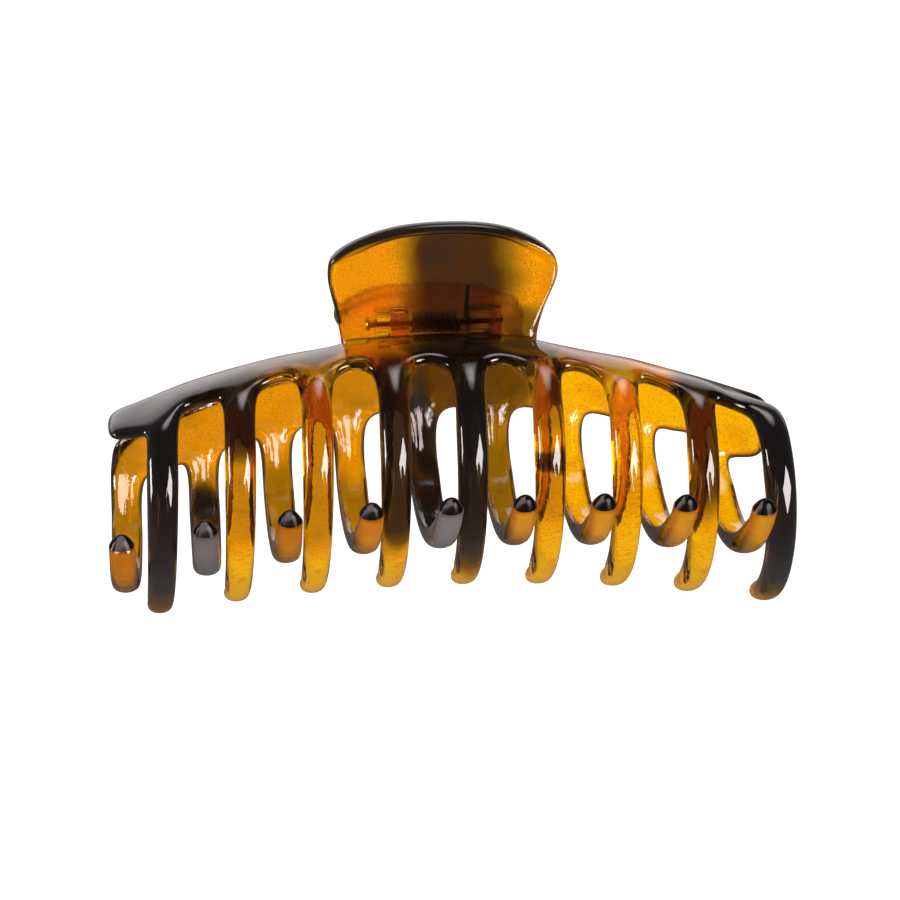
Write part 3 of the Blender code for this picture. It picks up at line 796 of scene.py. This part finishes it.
def tortoise(name, clouds, lever_tint, lever_share, lever_grain, rim_shade_depth, wall_shade_depth, tip_fade, tip_haze):
    """Glossy translucent amber plastic with soft dark clouds in it, a few of them painted shade, and painted
    shade on the lever's rim and beside the walls.
    """
    n = Surface(name)
    spot = n.spot()
    inside, lever = n.mark("inside"), n.mark("lever")
    pale = n.math("MULTIPLY", n.mark("tip"), TIP_PALE)

    # darkness
    drift = n.vector("SUBTRACT", n.noise(spot, *DRIFT_NOISE).outputs["Color"], (0.5, 0.5, 0.5))
    warped = n.vector("ADD", spot, n.vector("MULTIPLY", drift, (DRIFT, DRIFT, DRIFT)))
    dark = n.math("MULTIPLY", cloudiness(n, warped, clouds), n.rest(n.math("MULTIPLY", pale, tip_fade)))
    mottle = n.ramp(n.noise(warped, *MOTTLE_NOISE).outputs["Fac"], *MOTTLE_RANGE, 0.0, MOTTLE_DEPTH)
    mottle = n.math("MULTIPLY", mottle, n.rest(n.math("MAXIMUM", dark, pale)))
    dark = n.math("ADD", dark, mottle, clamp=True)
    # painted shade: the lever's rim is darkened where its thick bead would refract the dark room
    dark = n.math("MAXIMUM", dark, n.math("MULTIPLY", n.mark("rim_shade"), rim_shade_depth))
    # painted shade: a dark band beside the walls of the gaps, where the edges would refract the dark room
    wall_shade_mask = n.math("MULTIPLY", n.mark("wall_shade"), n.rest(pale))
    dark = n.math("MAXIMUM", dark, n.math("MULTIPLY", wall_shade_mask, wall_shade_depth))
    if lever_grain:
        grained = n.math("MAXIMUM", inside, lever)
    else:
        grained = n.math("SUBTRACT", inside, lever, clamp=True)
    grain = n.noise(spot, *GRAIN_NOISE).outputs["Fac"]
    speck = n.math("MULTIPLY", n.ramp(grain, *GRAIN_RANGE, 0.0, GRAIN_DEPTH), grained)
    left = n.ramp(n.math("MAXIMUM", dark, pale), *GRAIN_FADES, 1.0, GRAIN_LEFT)
    speck = n.math("MULTIPLY", speck, left)
    dark = n.math("ADD", dark, speck, clamp=True)

    # colour and clearness
    tint = n.mix(n.math("MULTIPLY", lever, lever_share), n.mix(pale, AMBER, PALE), lever_tint)
    # past UMBER_AT the plastic takes the dark pigment's colour, painted lighter grey at the tips as a sheen
    for low, high, darker in ((0.0, ORANGE_AT, ORANGE), (ORANGE_AT, BROWN_AT, BROWN),
                              (BROWN_AT, UMBER_AT, UMBER), (UMBER_AT, 1.0, n.mix(pale, BLACK, TIP_SHEEN_GREY))):
        tint = n.mix(n.ramp(dark, low, high, smooth=False), tint, darker)
    n.put("Base Color", tint)
    clear = n.rest(n.math("MULTIPLY", pale, tip_haze))
    clear = n.math("MULTIPLY", clear, n.ramp(dark, UMBER_AT, 1.0, 1.0, OPAQUE_CLEAR, smooth=False))
    n.put("Transmission Weight", clear)
    n.put("IOR", PLASTIC_IOR)
    most = max(SOAK)
    kept = [1.0 - part / most for part in SOAK]
    soak = n.add("ShaderNodeVolumeAbsorption", {"Color": (*kept, 1.0), "Density": most})
    n.set(n.output, "Volume", soak.outputs[0])

    # surface
    blurred = n.math("MULTIPLY", n.math("MULTIPLY", inside, lever), LEVER_ROUGH)
    n.put("Roughness", n.math("ADD", blurred, ROUGH))
    streaks = n.noise(n.vector("MULTIPLY", spot, STREAK_ALONG), *STREAK_NOISE).outputs["Fac"]
    streaks = n.math("ADD", streaks, n.math("MULTIPLY", grain, STREAK_GRAIN))
    peel = n.noise(spot, *PEEL_NOISE).outputs["Fac"]
    height = n.math("ADD", n.math("MULTIPLY", streaks, inside), n.math("MULTIPLY", peel, PEEL_DEPTH))
    n.bump(height, BUMP, BUMP_HEIGHT)
    return n.mat


def cap_black(name):
    """The black caps on the tips of the rear teeth."""
    n = Surface(name)
    n.put("Base Color", (*CAP_BLACK, 1.0))
    n.put("Specular IOR Level", CAP_GLOSS)
    n.put("Roughness", CAP_ROUGH)
    return n.mat


def steel(name):
    """Plain drawn steel, a little worn and warm."""
    n = Surface(name)
    wear = n.noise(n.spot(), *WEAR_NOISE).outputs["Fac"]
    n.put("Base Color", n.mix(wear, STEEL_DARK, STEEL_LIGHT))
    n.put("Metallic", 1.0)
    n.put("Roughness", n.ramp(wear, *WEAR_RANGE, *STEEL_ROUGH, smooth=False))
    n.bump(wear, STEEL_BUMP, STEEL_BUMP_HEIGHT)
    return n.mat


# pieces
def finish_piece(name, mesh, material, body, node):
    """A piece of the clip that rides on a body and stands for a node."""
    mesh.shade_smooth()
    mesh.set_sharp_from_angle(angle=SHARP_FROM)
    mesh.materials.clear()
    mesh.materials.append(material)
    obj = add_object(name, mesh)
    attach(obj, body)
    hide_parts(node)


def mark_rim_shade(mesh, side):
    """Marks painted shade on the thick rim of the lever: 1 outside the clear panel, 0 on it and everywhere
    else.
    """
    co = np.zeros(len(mesh.vertices) * 3)
    mesh.vertices.foreach_get("co", co)
    back = np.array(place(side).inverted())
    p = co.reshape(-1, 3) @ back[:3, :3].T + back[:3, 3]
    up, out = lever_ways()
    y, z = p[:, 1] - CREASE_Y, p[:, 2] - CREASE_Z
    along = y * up.y + z * up.z
    off = y * out.y + z * out.z
    across = p[:, 0] - LEVER_SHIFT[0] - LEVER_SHIFT[1] * along
    half = np.interp(along, PANEL_UP, PANEL_HALF) * (1.0 if side > 0 else REAR_LEVER_WIDTH)
    half = np.where(across < 0.0, half - LEFT_RIM, half)
    top = PANEL_TOP - PANEL_TOP_FALL * across ** 2
    edge = np.abs(across / half) ** PANEL_CORNER + np.abs(along / top) ** PANEL_CORNER
    share = np.clip((edge ** (1 / PANEL_CORNER) - RIM_EDGE) / RIM_FADE, 0.0, 1.0)
    share[(along < RIM_FROM) | (np.abs(off + LEVER_T / 2) > 2.0 * LEVER_T)] = 0.0
    mesh.attributes.new("rim_shade", "FLOAT", "POINT").data.foreach_set("value", share)


def mark_wall_shade(mesh, side):
    """Marks painted shade on the walls between the two faces and in a narrow band beside them; the rear lever
    is left out.
    """
    count = len(mesh.vertices)
    inside, lever, co = np.zeros(count), np.zeros(count), np.zeros(count * 3)
    mesh.attributes["inside"].data.foreach_get("value", inside)
    mesh.attributes["lever"].data.foreach_get("value", lever)
    mesh.vertices.foreach_get("co", co)
    co = co.reshape(-1, 3)
    walls = np.flatnonzero((inside > WALL_MARK[0]) & (inside < WALL_MARK[1]))
    tree = KDTree(len(walls))
    for k in walls:
        tree.insert(co[k], int(k))
    tree.balance()
    away = np.array([tree.find(point)[2] for point in co])
    share = np.clip(2.0 - away / (WALL_SHADE_REACH[side] * MM), 0.0, 1.0)
    if side < 0:
        share[lever > 0.0] = 0.0
    mesh.attributes.new("wall_shade", "FLOAT", "POINT").data.foreach_set("value", share)


def blacken_caps(mesh):
    """Gives the caps on the tips of the teeth their own material."""
    capped = np.zeros(len(mesh.vertices))
    mesh.attributes["capped"].data.foreach_get("value", capped)
    mesh.materials.append(cap_black("tip_black"))
    for face in mesh.polygons:
        face.material_index = int(min(capped[v] for v in face.vertices) > CAP_MARK)


def make_jaw(name, side, material, body, node):
    """A jaw as one smooth solid: the cage smoothed, then united with its lugs."""
    shell = add_object(name + "_cage", write_mesh(name + "_cage", cage(side), place(side)))
    lugs = add_object(name + "_lugs", write_mesh(name + "_lugs", lug_mesh(LUG_ARC), place(side)))
    smooth = shell.modifiers.new("smooth", "SUBSURF")
    smooth.levels = smooth.render_levels = LEVELS
    unite = shell.modifiers.new("lugs", "BOOLEAN")
    unite.operation = "UNION"
    unite.solver = "EXACT"
    unite.object = lugs
    whole = shell.evaluated_get(bpy.context.evaluated_depsgraph_get())
    mesh = bpy.data.meshes.new_from_object(whole)
    mesh.name = name
    mark_rim_shade(mesh, side)
    mark_wall_shade(mesh, side)
    bpy.data.objects.remove(shell, do_unlink=True)
    bpy.data.objects.remove(lugs, do_unlink=True)
    finish_piece(name, mesh, material, body, node)
    if side < 0:
        blacken_caps(mesh)


def make_steel(name, bm, material, body, node):
    finish_piece(name, write_mesh(name, bm, place(1)), material, body, node)


def build_clip():
    wire = steel("spring_steel")
    make_jaw("front_shell", 1, tortoise("front_tortoiseshell", **FRONT_LOOK), "front", "front_jaw")
    make_jaw("rear_shell", -1, tortoise("rear_tortoiseshell", **REAR_LOOK), "rear", "rear_jaw")
    make_steel("pin_turned", pin_mesh(ROUND), wire, "rear", "hinge_pin")
    coil = sweep(coil_points(COIL_STEPS), WIRE_R, WIRE_SIDES)
    make_steel("spring_wound", coil, wire, "rear", "spring_coil")
    leg = sweep(leg_points(), WIRE_R, WIRE_SIDES)
    make_steel("spring_leg", leg, wire, "front", "spring_front_leg")


# stage
def glowing(name, grey):
    """A matt grey that also shines white."""
    n = Surface(name)
    n.put("Base Color", (grey, grey, grey, 1.0))
    n.put("Specular IOR Level", 0.0)
    n.put("Emission Color", (1.0, 1.0, 1.0, 1.0))
    return n


def floor():
    """A pale table that the clip doesn't mirror."""
    mesh = bpy.data.meshes.new("floor")
    corners = [(x * FLOOR_HALF, y * FLOOR_HALF, 0.0) for x, y in ((-1, -1), (1, -1), (1, 1), (-1, 1))]
    mesh.from_pydata(corners, [], [(0, 1, 2, 3)])
    obj = add_object("floor", mesh)
    obj.location = (0.0, 0.0, -FLOOR_DROP)
    n = glowing("pale_table", FLOOR_GREY)
    n.put("Roughness", FLOOR_ROUGH)
    n.put("Emission Strength", n.ramp(n.length(n.spot()), *FLOOR_FALLS, *FLOOR_GLOW))
    mesh.materials.append(n.mat)
    obj.visible_glossy = False


def tent():
    """A pale tent over the table, seen past and through the clip but not mirrored in it."""
    bm = bmesh.new()
    bmesh.ops.create_icosphere(bm, subdivisions=4, radius=TENT_RADIUS)
    mesh = write_mesh("tent", bm, Matrix.Identity(4))
    obj = add_object("tent", mesh)
    n = glowing("pale_tent", 0.0)
    n.put("Emission Strength", TENT_GLOW)
    mesh.materials.append(n.mat)
    obj.visible_glossy = False
    obj.visible_diffuse = False
    obj.visible_shadow = False


def soft_light(name, azimuth, elevation, distance, width, height, radiance, soft=False, aim=LIGHT_AIM,
               tint=LIGHT):
    """A rectangular light seen from the clip at this compass bearing and height; no matt surface sees it."""
    a, e = math.radians(azimuth), math.radians(elevation)
    way = Vector((math.sin(a) * math.cos(e), math.cos(a) * math.cos(e), math.sin(e)))
    light = bpy.data.lights.new(name, "AREA")
    light.shape = "RECTANGLE"
    light.size = width
    light.size_y = height
    light.color = tint
    light.energy = radiance * math.pi * width * height
    if soft:
        light.use_nodes = True
        n = Nodes(light.node_tree)
        across = n.add("ShaderNodeNewGeometry").outputs["Parametric"]
        away = n.add("ShaderNodeVectorMath", {0: across, 1: (0.5, 0.5, 0.0)}, operation="DISTANCE")
        fade = n.ramp(away.outputs["Value"], *SOFT_BORDER, 1.0, 0.0)
        n.set(n.tree.nodes["Emission"], "Strength", fade)
    obj = add_object(name, light)
    obj.location = way * distance + Vector(aim)
    obj.rotation_euler = (-way).to_track_quat("-Z", "Y").to_euler()
    obj.visible_camera = False
    obj.visible_diffuse = False
    return obj


def sky():
    """The room and the table as the clip mirrors them."""
    world = bpy.data.worlds.new("studio")
    bpy.context.scene.world = world
    world.use_nodes = True
    n = Nodes(world.node_tree)
    background = n.tree.nodes["Background"]
    n.set(background, "Color", (*LIGHT, 1.0))
    where = n.add("ShaderNodeTexCoord").outputs["Generated"]
    parts = n.add("ShaderNodeSeparateXYZ", {0: where})
    table = n.ramp(parts.outputs["Y"], *TABLE_TURNS, TABLE_FRONT, TABLE_BACK)
    n.set(background, "Strength", n.ramp(parts.outputs["Z"], *HORIZON, table, ROOM))


def studio():
    sky()
    for window in WINDOWS:
        soft_light(*window)
    lit = bpy.data.collections.new("rear_top_lights")
    lit.objects.link(bpy.data.objects["rear_shell"])
    top = soft_light(*REAR_TOP, aim=REAR_TOP_AIM, tint=PINK)
    top.light_linking.receiver_collection = lit
    fill = soft_light(*FRONT_FILL)
    fill.visible_diffuse = True
    fill.visible_glossy = False
    fill.visible_transmission = False
    fill.light_linking.receiver_collection = lit
    scene = bpy.context.scene
    scene.view_settings.view_transform = "Standard"
    scene.cycles.max_bounces = BOUNCES
    scene.cycles.transmission_bounces = BOUNCES
    scene.cycles.glossy_bounces = GLOSSY_BOUNCES


def camera():
    look = lay_way(CAMERA_LOOK)
    right = look.cross(lay_way(CAMERA_UP)).normalized()
    up = right.cross(look).normalized()
    cam = bpy.data.cameras.new("camera")
    cam.lens = CAMERA_LENS
    cam.sensor_width = CAMERA_SENSOR
    cam.clip_start, cam.clip_end = CAMERA_CLIP
    obj = add_object("camera", cam)
    turn = Matrix((right, up, -look)).transposed().to_4x4()
    obj.matrix_world = Matrix.Translation(lay_point(*CAMERA_AT)) @ turn
    bpy.context.scene.camera = obj


build_clip()
floor()
tent()
studio()
camera()
